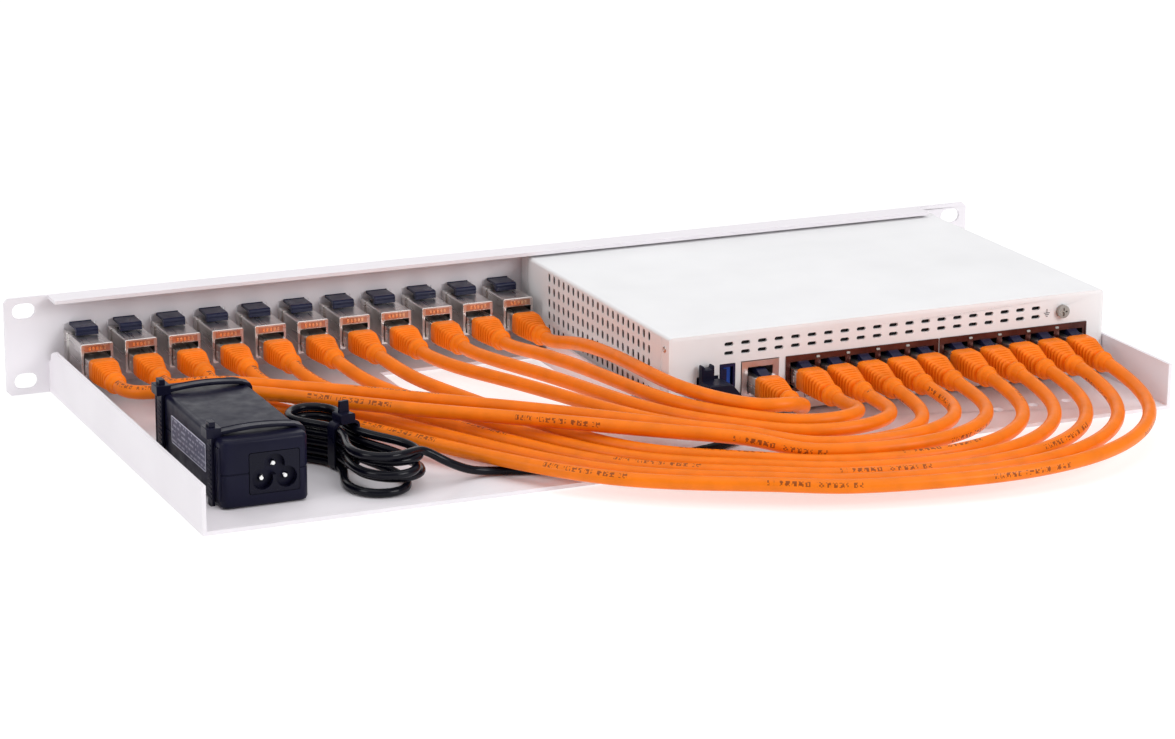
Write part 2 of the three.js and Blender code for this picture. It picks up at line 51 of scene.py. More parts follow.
UNIT = "unit"


def place(p):
    return Vector((p[0], p[1] + ROW_Y, p[2])) * MM


# ---- camera, world and lights ----
CAMERA_AT = (0.6226, 1.3613, 0.4461)        # metres
CAMERA_TURN = (73.87, -0.55, 155.36)        # degrees about X, Y and Z
CAMERA_LENS = 108.57                        # mm, on a sensor 36 mm wide
CAMERA_SHIFT = (-0.0282, 0.0011)


def add_camera():
    data = bpy.data.cameras.new("camera")
    data.sensor_width = 36
    data.lens = CAMERA_LENS
    data.shift_x, data.shift_y = CAMERA_SHIFT
    data.clip_start = 0.05
    camera = bpy.data.objects.new("camera", data)
    camera.location = CAMERA_AT
    camera.rotation_euler = Euler([math.radians(a) for a in CAMERA_TURN])
    bpy.context.scene.collection.objects.link(camera)
    bpy.context.scene.camera = camera


def add_softbox(name, location, size, power):
    """A white rectangular light that faces the middle of the object."""
    data = bpy.data.lights.new(name, "AREA")
    data.shape = "RECTANGLE"
    data.size, data.size_y = size
    data.energy = power
    light = bpy.data.objects.new(name, data)
    light.location = location
    light.rotation_euler = (-Vector(location)).to_track_quat("-Z", "Y").to_euler()
    bpy.context.scene.collection.objects.link(light)


def add_world():
    """Even studio light, a little brighter from above."""
    world = bpy.data.worlds.new("studio")
    world.use_nodes = True
    tree = world.node_tree
    tree.nodes.clear()
    out = tree.nodes.new("ShaderNodeOutputWorld")
    back = tree.nodes.new("ShaderNodeBackground")
    ramp = tree.nodes.new("ShaderNodeValToRGB")
    split = tree.nodes.new("ShaderNodeSeparateXYZ")
    coord = tree.nodes.new("ShaderNodeTexCoord")
    ramp.color_ramp.elements[0].position = 0.0
    ramp.color_ramp.elements[0].color = (0.55, 0.54, 0.56, 1)
    ramp.color_ramp.elements[1].position = 0.7
    ramp.color_ramp.elements[1].color = (0.95, 0.95, 0.97, 1)
    tree.links.new(coord.outputs["Generated"], split.inputs[0])
    tree.links.new(split.outputs["Z"], ramp.inputs[0])
    tree.links.new(ramp.outputs[0], back.inputs["Color"])
    back.inputs["Strength"].default_value = 0.48
    tree.links.new(back.outputs[0], out.inputs["Surface"])
    bpy.context.scene.world = world


add_camera()
add_world()
add_softbox("softbox_top", (0.0, 0.1, 1.5), (2.2, 1.6), 12)
add_softbox("softbox_rear", (-0.9, 1.5, 0.9), (1.0, 0.8), 16)
add_softbox("softbox_front", (-0.2, -1.7, 0.62), (2.4, 0.7), 4.5)
add_softbox("softbox_left", (1.7, 0.2, 0.8), (0.7, 0.9), 7)
bpy.context.scene.view_settings.view_transform = "Standard"


# ---- materials ----
class Finish:
    """One procedural material: noise drives its colour, roughness and fine relief."""

    def __init__(self, name):
        self.material = bpy.data.materials.new(name)
        self.material.use_nodes = True
        self.tree = self.material.node_tree
        self.shader = self.tree.nodes["Principled BSDF"]
        self.coord = self.tree.nodes.new("ShaderNodeTexCoord").outputs["Object"]

    def node(self, kind, **inputs):
        made = self.tree.nodes.new(kind)
        for key, value in inputs.items():
            made.inputs[key.replace("_", " ")].default_value = value
        return made

    def link(self, a, b):
        self.tree.links.new(a, b)

    def set(self, **inputs):
        for key, value in inputs.items():
            self.shader.inputs[key.replace("_", " ")].default_value = value
        return self

    def noise(self, size, detail=3.0, stretch=None, source=None):
        """Noise whose features are about `size` millimetres across."""
        texture = self.node("ShaderNodeTexNoise", Scale=1 / (size * MM), Detail=detail)
        vector = source or self.coord
        if stretch:
            scale = self.node("ShaderNodeVectorMath")
            scale.operation = "MULTIPLY"
            scale.inputs[1].default_value = stretch
            self.link(vector, scale.inputs[0])
            vector = scale.outputs[0]
        self.link(vector, texture.inputs["Vector"])
        return texture.outputs["Fac"]

    def ramp(self, factor, *stops):
        """Colours at positions along a factor, given as (position, colour)."""
        made = self.node("ShaderNodeValToRGB")
        elements = made.color_ramp.elements
        while len(elements) < len(stops):
            elements.new(0.5)
        for element, (position, color) in zip(elements, stops):
            element.position = position
            element.color = (*color, 1)
        self.link(factor, made.inputs["Fac"])
        return made.outputs["Color"]

    def span(self, factor, low, high, start=0.3, end=0.7):
        """Map a factor from start..end to low..high."""
        made = self.node("ShaderNodeMapRange")
        made.inputs["From Min"].default_value = start
        made.inputs["From Max"].default_value = end
        made.inputs["To Min"].default_value = low
        made.inputs["To Max"].default_value = high
        self.link(factor, made.inputs["Value"])
        return made.outputs["Result"]

    def math(self, operation, a, b=None):
        made = self.node("ShaderNodeMath")
        made.operation = operation
        for socket, value in zip(made.inputs, (a, b)):
            if value is None:
                continue
            if isinstance(value, (int, float)):
                socket.default_value = value
            else:
                self.link(value, socket)
        return made.outputs[0]

    def color(self, socket):
        self.link(socket, self.shader.inputs["Base Color"])

    def rough(self, socket):
        self.link(socket, self.shader.inputs["Roughness"])

    def relief(self, height, depth, strength=0.5):
        """Bump from a height that varies by about `depth` millimetres."""
        bump = self.node("ShaderNodeBump", Strength=strength, Distance=depth * MM)
        self.link(height, bump.inputs["Height"])
        self.link(bump.outputs["Normal"], self.shader.inputs["Normal"])
        return self


def shade(color, factor):
    """A lighter or darker version of a colour."""
    return tuple(min(1, c * factor) for c in color)


def powder_coat(name, color, roughness=0.42):
    """Sprayed powder paint: a fine orange peel, faint cloudiness and dulled patches."""
    f = Finish(name)
    f.color(f.ramp(f.noise(45, 4), (0.3, shade(color, 0.965)), (0.7, shade(color, 1.02))))
    f.rough(f.span(f.noise(18, 5), roughness - 0.06, roughness + 0.08))
    return f.relief(f.noise(0.9, 2), 0.05, 0.35).set(Specular_IOR_Level=0.5).material


def plated(name, color, roughness=0.24, tint=None):
    """Nickel or a like plating over stamped sheet, with drawing lines and hazy spots."""
    f = Finish(name)
    lines = f.noise(1.4, 3, (1, 0.05, 1))
    f.color(f.ramp(f.noise(11, 3), (0.3, tint or shade(color, 0.9)), (0.68, color)))
    f.rough(f.span(lines, roughness - 0.05, roughness + 0.07))
    return f.relief(lines, 0.012, 0.12).set(Metallic=1.0).material


def moulded(name, color, roughness=0.38, grain=0.5, depth=0.04, gloss=0.3):
    """Injection-moulded plastic: spark-eroded grain and a slightly uneven sheen."""
    f = Finish(name)
    f.color(f.ramp(f.noise(14, 4), (0.3, shade(color, 0.9)), (0.7, shade(color, 1.12))))
    f.rough(f.span(f.noise(6, 4), roughness - 0.06, roughness + 0.1))
    return f.relief(f.noise(grain, 2), depth, 0.35).set(Specular_IOR_Level=gloss).material


def jacket(name, color, ink=None, roughness=0.33, gloss=0.28):
    """Extruded cord jacket; `ink` adds a line of meaningless print marks along it.

    The mesh carries, at each point, the distance along the cord in metres and the cosine
    and sine of the angle round it."""
    f = Finish(name)
    attribute = f.node("ShaderNodeAttribute")
    attribute.attribute_name = "cord"
    split = f.node("ShaderNodeSeparateXYZ")
    f.link(attribute.outputs["Vector"], split.inputs[0])
    along, cosine, sine = split.outputs
    wave = f.noise(9, 3)
    base = f.ramp(wave, (0.3, shade(color, 0.9)), (0.7, shade(color, 1.06)))
    if ink:
        # a mark, a word and a whole line of print repeat every so many millimetres
        mark_pitch, word_pitch, line_pitch = 2.7, 14.7, 92.0
        half_height, dot_length, dot_height = 1.08, 0.66, 0.72
        jacket_radius = 3.0
        angle = f.math("ARCTAN2", sine, cosine)
        height = f.math("MULTIPLY", angle, jacket_radius)             # mm round the jacket
        run = f.math("MULTIPLY", along, 1000.0)                       # mm along it
        row = f.math("LESS_THAN", f.math("ABSOLUTE", height), half_height)
        body = f.math("LESS_THAN", f.math("FRACT", f.math("DIVIDE", run, mark_pitch)), 0.74)
        block = f.math("LESS_THAN", f.math("FRACT", f.math("DIVIDE", run, line_pitch)), 0.42)
        word = f.math("GREATER_THAN", f.math("FRACT", f.math("DIVIDE", run, word_pitch)), 0.15)
        cell = f.node("ShaderNodeCombineXYZ")
        f.link(f.math("FLOOR", f.math("DIVIDE", run, dot_length)), cell.inputs[0])
        f.link(f.math("FLOOR", f.math("DIVIDE", height, dot_height)), cell.inputs[1])
        speck = f.node("ShaderNodeTexWhiteNoise")
        f.link(cell.outputs[0], speck.inputs["Vector"])
        mark = f.math("GREATER_THAN", speck.outputs["Value"], 0.42)
        for other in (row, body, block, word):
            mark = f.math("MULTIPLY", mark, other)
        mix = f.node("ShaderNodeMix")
        mix.data_type = "RGBA"
        f.link(f.math("MULTIPLY", mark, 0.82), mix.inputs["Factor"])
        f.link(base, mix.inputs["A"])
        mix.inputs["B"].default_value = (*ink, 1)
        base = mix.outputs["Result"]
    f.color(base)
    f.rough(f.span(f.noise(5, 3), roughness - 0.05, roughness + 0.08))
    return f.relief(f.noise(3.2, 2), 0.12, 0.25).set(Specular_IOR_Level=gloss).material


def circuit_board(name):
    """Green solder mask over copper tracks."""
    f = Finish(name)
    tracks = f.node("ShaderNodeTexVoronoi", Scale=1 / (2.4 * MM))
    tracks.feature = "DISTANCE_TO_EDGE"
    f.link(f.coord, tracks.inputs["Vector"])
    f.color(f.ramp(tracks.outputs["Distance"], (0.05, (0.02, 0.12, 0.05)),
                   (0.09, (0.008, 0.07, 0.03))))
    f.rough(f.span(f.noise(3), 0.25, 0.45))
    return f.relief(tracks.outputs["Distance"], 0.05, 0.4).material


def rating_label(name, y0, y1, z0, z1):
    """A dull foil label with a pale rim and rows of meaningless marks. Its edges are given
    in millimetres of the row frame."""
    row_pitch, mark_pitch, rim_width = 2.2, 1.3, 0.5
    f = Finish(name)
    split = f.node("ShaderNodeSeparateXYZ")
    f.link(f.coord, split.inputs[0])
    y = f.math("MULTIPLY", split.outputs["Y"], 1000.0)
    z = f.math("MULTIPLY", split.outputs["Z"], 1000.0)
    rim_y = f.math("GREATER_THAN", f.math("ABSOLUTE", f.math("SUBTRACT", y, (y0 + y1) / 2)),
                   (y1 - y0) / 2 - rim_width)
    rim_z = f.math("GREATER_THAN", f.math("ABSOLUTE", f.math("SUBTRACT", z, (z0 + z1) / 2)),
                   (z1 - z0) / 2 - rim_width)
    rim = f.math("MAXIMUM", rim_y, rim_z)
    row = f.math("LESS_THAN", f.math("FRACT", f.math("DIVIDE", z, row_pitch)), 0.4)
    cell = f.node("ShaderNodeCombineXYZ")
    f.link(f.math("FLOOR", f.math("DIVIDE", y, mark_pitch)), cell.inputs[0])
    f.link(f.math("FLOOR", f.math("DIVIDE", z, row_pitch)), cell.inputs[1])
    speck = f.node("ShaderNodeTexWhiteNoise")
    f.link(cell.outputs[0], speck.inputs["Vector"])
    mark = f.math("MULTIPLY", row, f.math("GREATER_THAN", speck.outputs["Value"], 0.45))
    f.color(f.ramp(f.math("MAXIMUM", rim, f.math("MULTIPLY", mark, 0.55)),
                   (0.0, (0.10, 0.10, 0.16)), (1.0, (0.62, 0.62, 0.72))))
    f.rough(f.span(f.noise(4), 0.3, 0.45))
    return f.relief(f.noise(0.6), 0.02, 0.2).material


ORANGE = (0.86, 0.19, 0.004)
NAVY = (0.008, 0.010, 0.036)
INK_BLACK = (0.0055, 0.0055, 0.019)

TRAY_PAINT = powder_coat("tray_powder_coat", (0.84, 0.805, 0.84), 0.45)
CASING_PAINT = powder_coat("casing_powder_coat", (0.84, 0.838, 0.845), 0.4)
NICKEL = plated("nickel_plating", (0.70, 0.67, 0.65), 0.3)
# Painted shade: the port blocks and their rims get a copy of the nickel plating darkened to dark
# brown
PORT_SHADED_NICKEL = plated("port_shield_painted_shade", (0.13, 0.065, 0.058), 0.32, (0.075, 0.032, 0.028))
JACK_NICKEL = plated("jack_shield_plating", (0.62, 0.58, 0.58), 0.34, (0.50, 0.46, 0.46))
STEEL = plated("screw_steel", (0.36, 0.33, 0.30), 0.3)
COPPER = plated("contact_copper", (0.66, 0.40, 0.29), 0.32, (0.50, 0.27, 0.18))
GOLD = plated("contact_gold", (0.92, 0.68, 0.42), 0.25)
LATCH_PLASTIC = moulded("latch_plastic", NAVY, 0.3, gloss=0.2)
LEAD_JACKET = jacket("lead_jacket", ORANGE, (0.16, 0.035, 0.008), 0.36, 0.2)
BOOT_PLASTIC = moulded("boot_plastic", shade(ORANGE, 1.02), 0.42, 0.8, 0.03, 0.18)
BLACK_PLASTIC = moulded("adapter_plastic", INK_BLACK, 0.34, gloss=0.14)
GLOSS_BLACK = moulded("inlet_plastic", (0.004, 0.004, 0.013), 0.22, 0.9, 0.02, 0.16)
BLACK_JACKET = jacket("black_jacket", (0.002, 0.002, 0.006), None, 0.2, 0.2)
TIE_NYLON = moulded("tie_nylon", (0.005, 0.005, 0.017), 0.32, 0.7, 0.03, 0.16)
BOARD = circuit_board("solder_mask")
ALUMINIUM = plated("anodised_aluminium", (0.62, 0.63, 0.64), 0.38)
RUBBER = moulded("foot_rubber", (0.012, 0.012, 0.013), 0.75, 0.3, 0.06)
USB_SHELL = moulded("usb_shell", (0.006, 0.008, 0.05), 0.35, 0.7, 0.02)
USB_BLUE = moulded("usb_plastic", (0.012, 0.075, 0.42), 0.35, 0.7, 0.02)
PRINT_INK = moulded("panel_print", (0.05, 0.05, 0.06), 0.55, 1.0, 0.01)
CHROME = plated("pin_plating", (0.86, 0.86, 0.86), 0.12)
LENS = moulded("light_lens", (0.42, 0.46, 0.44), 0.15, 1.5, 0.01)


# ---- mesh helpers ----
def across(axis, u, v, w):
    """The point (u, v) of the plane across the X or Y axis, w along that axis."""
    return (w, u, v) if axis == "x" else (u, w, v)


class Form:
    """A mesh gathered in millimetres from lofts, blocks and prisms."""

    def __init__(self):
        self.bm = bmesh.new()

    def loft(self, rings, closed=False):
        """Skin rings of equal count; the ends are capped, or joined to each other if closed."""
        rows = [[self.bm.verts.new(place(p)) for p in ring] for ring in rings]
        count = len(rows[0])
        pairs = list(zip(rows, rows[1:])) + ([(rows[-1], rows[0])] if closed else [])
        for a, b in pairs:
            for i in range(count):
                j = (i + 1) % count
                self.bm.faces.new((a[i], a[j], b[j], b[i]))
        if not closed:
            self.bm.faces.new(rows[0][::-1])
            self.bm.faces.new(rows[-1])

    def block(self, x0, x1, y0, y1, z0, z1):
        self.loft([[(x0, y, z0), (x1, y, z0), (x1, y, z1), (x0, y, z1)] for y in (y0, y1)])

    def prism(self, axis, outline, a, b):
        """An outline in the plane across an axis, extruded along it from a to b."""
        self.loft([[across(axis, u, v, w) for u, v in outline] for w in (a, b)])

    def turned(self, axis, centre, profile, count):
        """A round solid: a circle of radius r at each place w of the profile's (w, r)."""
        self.loft([[across(axis, u, v, w) for u, v in circle(*centre, r, count)]
                   for w, r in profile])

    def piece(self, name, material, body=UNIT, replaces=(), smooth=True):
        bmesh.ops.recalc_face_normals(self.bm, faces=self.bm.faces)
        mesh = bpy.data.meshes.new(name)
        self.bm.to_mesh(mesh)
        self.bm.free()
        return finish_piece(mesh, name, material, body, replaces, smooth)


def finish_piece(mesh, name, material, body=UNIT, replaces=(), smooth=True):
    """Make the object, and say what it rides on, its finish and the nodes it stands for."""
    obj = bpy.data.objects.new(name, mesh)
    bpy.context.scene.collection.objects.link(obj)
    mesh.materials.append(material)
    if smooth:
        mesh.shade_smooth()
        mesh.set_sharp_from_angle(angle=math.radians(38))
    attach(obj, body)
    if replaces:
        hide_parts(*replaces)
    return obj


def soften(obj, width, segments=2, angle=30, tidy=False):
    """Round the sharp edges by `width` millimetres. `tidy` first merges flat triangles."""
    if tidy:
        merge = obj.modifiers.new("merge_flats", "DECIMATE")
        merge.decimate_type = "DISSOLVE"
        merge.angle_limit = math.radians(1)
    bevel = obj.modifiers.new("soft_edges", "BEVEL")
    bevel.width = width * MM
    bevel.segments = segments
    bevel.limit_method = "ANGLE"
    bevel.angle_limit = math.radians(angle)
    bevel.use_clamp_overlap = True
    bevel.harden_normals = False
    normal = obj.modifiers.new("even_shading", "WEIGHTED_NORMAL")
    normal.keep_sharp = True


def carve(obj, tool):
    """Cut one piece's mesh by another mesh, which is used up."""
    cut = obj.modifiers.new("cut", "BOOLEAN")
    cut.operation = "DIFFERENCE"
    cut.solver = "EXACT"
    cut.object = tool
    bpy.context.view_layer.update()
    graph = bpy.context.evaluated_depsgraph_get()
    mesh = bpy.data.meshes.new_from_object(obj.evaluated_get(graph))
    obj.modifiers.clear()
    obj.data = mesh
    bpy.data.objects.remove(tool)


def tool_from(form):
    """The mesh that carve() cuts with."""
    bmesh.ops.recalc_face_normals(form.bm, faces=form.bm.faces)
    mesh = bpy.data.meshes.new("tool")
    form.bm.to_mesh(mesh)
    form.bm.free()
    obj = bpy.data.objects.new("tool", mesh)
    bpy.context.scene.collection.objects.link(obj)
    return obj


def circle(cx, cz, radius, count):
    return [(cx + radius * math.cos(2 * math.pi * i / count),
             cz + radius * math.sin(2 * math.pi * i / count)) for i in range(count)]


def oval(cx, cz, half_x, half_z, power, count=32):
    """A superellipse: power 2 is round, 6 is a rectangle with rounded corners."""
    points = []
    for i in range(count):
        a = 2 * math.pi * (i + 0.5) / count
        c, s = math.cos(a), math.sin(a)
        points.append((cx + half_x * math.copysign(abs(c) ** (2 / power), c),
                       cz + half_z * math.copysign(abs(s) ** (2 / power), s)))
    return points


def rounded(x0, x1, z0, z1, r, steps=3):
    """A rectangle with round corners."""
    points = []
    for cx, cz, first in ((x1 - r, z1 - r, 0), (x0 + r, z1 - r, 90), (x0 + r, z0 + r, 180),
                          (x1 - r, z0 + r, 270)):
        for i in range(steps + 1):
            a = math.radians(first + 90 * i / steps)
            points.append((cx + r * math.cos(a), cz + r * math.sin(a)))
    return points


def keep(node, material, width, segments=2):
    """A carried-over CAD node gets its finish and soft edges."""
    obj = NODES[node]
    obj.data.materials.clear()
    obj.data.materials.append(material)
    obj.data.shade_smooth()
    obj.data.set_sharp_from_angle(angle=math.radians(30))
    soften(obj, width, segments, tidy=True)


# ---- cord routes ----
def spline(points, step):
    """Points every `step` millimetres along a clamped uniform cubic B-spline."""
    p = np.array(points, float)
    p = np.vstack([p[:1], p[:1], p, p[-1:], p[-1:]])
    u = np.linspace(0, 1, 24, endpoint=False)[:, None]
    weights = [(1 - u) ** 3, 3 * u ** 3 - 6 * u ** 2 + 4, -3 * u ** 3 + 3 * u ** 2 + 3 * u + 1,
               u ** 3]
    fine = [sum(w * p[i + j] for j, w in enumerate(weights)) / 6 for i in range(len(p) - 3)]
    fine = np.vstack(fine + [p[-1:]])
    run = np.concatenate([[0], np.cumsum(np.linalg.norm(np.diff(fine, axis=0), axis=1))])
    count = max(2, round(run[-1] / step))
    at = np.linspace(0, run[-1], count + 1)
    return np.stack([np.interp(at, run, fine[:, k]) for k in range(3)], 1), run[-1]


def cord_mesh(name, path, radius, sides=16, turn=0.0, drift=0.0):
    """A round tube on a path in millimetres, with the attribute its jacket's print reads.

    The print starts at the angle `turn` and wanders by `drift` for each millimetre."""
    tangents = np.gradient(path, axis=0)
    tangents /= np.linalg.norm(tangents, axis=1)[:, None]
    up = np.array([0, 0, 1.0]) - tangents * tangents[:, 2:3]
    up /= np.linalg.norm(up, axis=1)[:, None]
    side = np.cross(tangents, up)
    run = np.concatenate([[0], np.cumsum(np.linalg.norm(np.diff(path, axis=0), axis=1))])
    verts, facts = [], []
    for i, p in enumerate(path):
        for j in range(sides):
            a = 2 * math.pi * j / sides
            q = p + radius * (up[i] * math.cos(a) + side[i] * math.sin(a))
            verts.append(place(q))
            b = a - turn - drift * run[i]
            facts += [run[i] * MM, math.cos(b), math.sin(b)]
    faces = []
    for i in range(len(path) - 1):
        for j in range(sides):
            k = (j + 1) % sides
            faces.append((i * sides + j, i * sides + k, (i + 1) * sides + k, (i + 1) * sides + j))
    faces.append(tuple(range(sides))[::-1])
    faces.append(tuple((len(path) - 1) * sides + j for j in range(sides)))
    mesh = bpy.data.meshes.new(name)
    mesh.from_pydata(verts, [], faces)
    mesh.attributes.new("cord", "FLOAT_VECTOR", "POINT").data.foreach_set("vector", facts)
    return mesh


# The fan: the leads lie between its outermost and its innermost line.
OUTER = [[161, 87], [134, 120], [112, 154], [88, 195], [62, 232], [32, 254], [0, 271]]
INNER = [[5.5, 87], [3.5, 112], [2.5, 135], [2, 157], [0, 174], [-5, 189], [-13, 201]]
SETTLE = [0.62, 0.85, 0.95, 1, 1, 0.95, 0.85]       # how far a lead has sunk, at each point
SLOTS = [5, 6, 0, 1, 2, 3, 4, 7, 8, 9, 10]          # each lead's place in the fan, 0 outermost
FAN_Z = [8.8, 8.9, 9.2, 10, 11.2, 18.6, 18.8, 16.5, 17.9, 20.6, 25]
BELLY_Z = [8.8, 9, 9.5, 10, 11, 14, 15, 12.8, 17, 19.4, 23.5]
# The first two leads cross over the fan before they join it.
OVER = [
    [[201, 74, 17], [185, 79, 18.5], [168, 89, 18.6], [150, 104, 18.6], [132, 121, 18.6],
     [110, 142, 18.6], [84, 163, 18.6], [60, 182, 18.6]],
    [[183, 71.5, 18], [174, 77, 19.6], [162.5, 82.5, 19.6], [150, 89.5, 18.8], [137, 99, 18.8],
     [122, 110.5, 18.8], [104, 127, 18.8], [80, 148, 18.8], [52, 172, 18.8]],
]
# The firewall's sockets, the console jack first.
PORTS = [-47.4, -67.9, -82.7, -97.5, -112.3, -127.1, -144.1, -158.9, -173.7, -188.5, -203.3]
LEAD_COUNT = 11
LEAD_DIAMETER = 6.0
BOOT_END, PORT_BOOT_END = 58.0, 194.0               # where the cord comes out of each boot
HOOK_START = 200.0
CORD_Z = 16.5


def coupler_x(k):
    return 207.5 - 19.9 * k


def port_of(k):
    return 10 - SLOTS[k]


def hook_points(i, z):
    """The last stretch: a quarter of an ellipse, from height z round into firewall port i."""
    x = PORTS[i]
    back = 221 + 7.2 * i if i else 213
    reach = 15.6 + 8.4 * i if i else 18
    points = []
    for degrees in (90, 72, 54, 36, 18):
        a = math.radians(degrees)
        bulge = 3 * math.sin(2 * a) if i else 0
        points.append([x + reach - reach * math.cos(a) - bulge,
                       HOOK_START + (back - HOOK_START) * math.sin(a),
                       z + (15.5 - z) * ((90 - degrees) / 90) ** 2])
    return points + [[x, HOOK_START, 16], [x, PORT_BOOT_END, CORD_Z]]


def lead_points(k):
    """From coupler k's boot through the fan, along its belly and round the hook."""
    x, slot = coupler_x(k), SLOTS[k]
    over = k < len(OVER)
    points = [[x, BOOT_END, CORD_Z], [x, 66, CORD_Z if over or k > 4 else 15.2]]
    if over:
        points += OVER[k]
    for n in range(5 if over else 0, len(OUTER)):
        late = min(1, n / 4)
        u = slot / 10 if over else (k - 2) / 8 * (1 - late) + slot / 10 * late
        z = FAN_Z[slot] if over else CORD_Z + (FAN_Z[slot] - CORD_Z) * SETTLE[n]
        points.append([OUTER[n][0] + (INNER[n][0] - OUTER[n][0]) * u,
                       OUTER[n][1] + (INNER[n][1] - OUTER[n][1]) * u, z])
    hook = hook_points(port_of(k), BELLY_Z[slot])
    (x0, y0), (x1, y1) = points[-1][:2], hook[0][:2]
    steps = round((x0 - x1) / 24)
    for j in range(1, steps + 1):
        f = j / (steps + 1)
        points.append([x0 + (x1 - x0) * f, y1 - (y1 - y0) * (1 - f) ** 2 * 0.9, BELLY_Z[slot]])
    return points + hook


# ---- plugs and boots ----
COUPLER_FACE, PORT_FACE = 26.0, 161.0
HOOD, PORT_HOOD = 6.4, 5.2                # from the face to where the boot's hood starts
RIBS = 6
RIB_PROFILE = ((0.0, 1.3), (0.15, 0.15), (0.35, 0.0), (1.0, 0.0), (1.2, 0.15), (1.35, 1.35))
PLUG_Z, CONSOLE_Z, PORT_Z = 17.6, 17.3, 18.4


def boot_rings(x, z, face, end, hood):
    """Rings along a moulded boot: a smooth hood, six ribs, a round collar and a short neck."""
    rings = []

    def ring(y, half_x, half_z, centre, power):
        rings.append([(u, y, v) for u, v in oval(x, centre, half_x, half_z, power)])

    drop = CORD_Z - z
    ring(face + hood, 5.0, 4.2, z, 6)
    ring(face + hood, 5.6, 4.6, z - 0.1, 6)
    ring(face + hood + 0.5, 5.95, 4.9, z - 0.1, 6)
    ring(face + 11.8, 5.95, 4.9, z - 0.1, 6)
    first, last = face + 12.4, face + 24.4
    pitch = (last - first) / RIBS
    for n in range(RIBS):
        for offset, inset in RIB_PROFILE:
            f = (n + offset / pitch) / RIBS
            ring(first + pitch * n + offset, 5.95 - 1.65 * f - inset, 4.9 - 0.65 * f - inset,
                 z - 0.1 + drop * f, 6 - 3.6 * f)
    tail = end - 7.4
    for offset, radius in ((0, 3.7), (0.4, 4.3), (1.1, 4.7), (2.6, 4.75), (3.3, 4.4), (3.7, 3.75),
                           (5.5, 3.55), (7.0, 3.4), (7.4, 3.15)):
        ring(tail + offset, radius, radius, CORD_Z, 2)
    return rings


def add_boot(name, x, z, face, end, hood=HOOD):
    form = Form()
    form.loft(boot_rings(x, z, face, end, hood))
    return form.piece(name, BOOT_PLASTIC)


def add_plug(name, x, z, face):
    """The shielded nose that shows between the socket and the boot."""
    form = Form()
    form.prism("y", rounded(x - 5.8, x + 5.8, z - 4.0, z + 3.9, 0.5), face - 9.5, face + 6.6)
    form.prism("x", rounded(face + 1.2, face + 3.2, z - 2.2, z + 0.8, 0.4), x - 6.05, x + 6.05)
    return form.piece(name, NICKEL)


def add_clip(name, x, z, face):
    """The dark lever that holds the plug in its socket."""
    form = Form()
    outline = [(-7, 3.7), (6, 3.7), (6, 4.3), (2, 5.7), (0.6, 6.3), (-7, 5.2)]
    form.prism("x", [(face + u, z + v) for u, v in outline], x - 2.4, x + 2.4)
    return form.piece(name, LATCH_PLASTIC)


def add_lead(k):
    number = f"{k + 1:02d}"
    points = lead_points(k)
    port = port_of(k)
    port_z, hood = (PORT_Z, PORT_HOOD) if port else (CONSOLE_Z, HOOD)
    path, length = spline(points, 3.2)
    inside_boot = [0, 2.5, 0]
    tube = np.vstack([path[0] - inside_boot, path, path[-1] - inside_boot])
    mesh = cord_mesh(f"lead_cord_{number}", tube, LEAD_DIAMETER / 2, 20,
                     turn=0.5 - 0.23 * k, drift=0.0035 * (-1) ** k)
    cord = finish_piece(mesh, f"lead_cord_{number}", LEAD_JACKET,
                        replaces=[f"patch_lead_{number}"])
    pieces = [
        add_boot(f"lead_boot_{number}", coupler_x(k), PLUG_Z, COUPLER_FACE, BOOT_END),
        add_plug(f"lead_plug_{number}", coupler_x(k), PLUG_Z, COUPLER_FACE),
        add_boot(f"lead_port_boot_{number}", PORTS[port], port_z, PORT_FACE, PORT_BOOT_END, hood),
        add_plug(f"lead_port_plug_{number}", PORTS[port], port_z, PORT_FACE),
        add_clip(f"lead_port_clip_{number}", PORTS[port], port_z, PORT_FACE),
    ]


for k in range(LEAD_COUNT):
    add_lead(k)

# ---- the adapter's lead, with its folded hank ----
DC_DIAMETER = 3.6
DC_START = [[188, 95, 10], [188, 87, 8.4], [184, 78, 4.4], [174, 73, 3.8], [163, 77, 3.8],
            [156, 88, 3.8], [153, 102, 3.8], [151.5, 112, 3.8]]
DC_END = [[108, 194.5, 8.8], [100, 192.5, 5], [92, 192, 3.7], [82, 195, 3.6], [68, 200, 3.6],
          [45, 203, 3.6], [20, 203, 3.6], [0, 200, 3.6], [-15, 196, 3.6], [-27, 190, 4],
          [-33, 183, 6], [-33.5, 174.6, 8.6]]
HANK_MID = (141.5, 163.0)
HANK_AXIS = (-0.2257, 0.9742)     # from the end by the couplers to the end by the rear edge
HANK_LOOPS = 5
HANK_LAYER = 3.75                 # each turn lies on the one before
HANK_FLOOR = 3.7


def hank_point(u, v, z, swing=0.0):
    """u along the hank, v across it towards the adapter; swing turns the rear half, degrees."""
    a = math.radians(swing) * min(1, max(0, (u + 12) / 30))
    u, v = u * math.cos(a) - v * math.sin(a), u * math.sin(a) + v * math.cos(a)
    return [HANK_MID[0] + HANK_AXIS[0] * u + HANK_AXIS[1] * v,
            HANK_MID[1] + HANK_AXIS[1] * u - HANK_AXIS[0] * v, z]


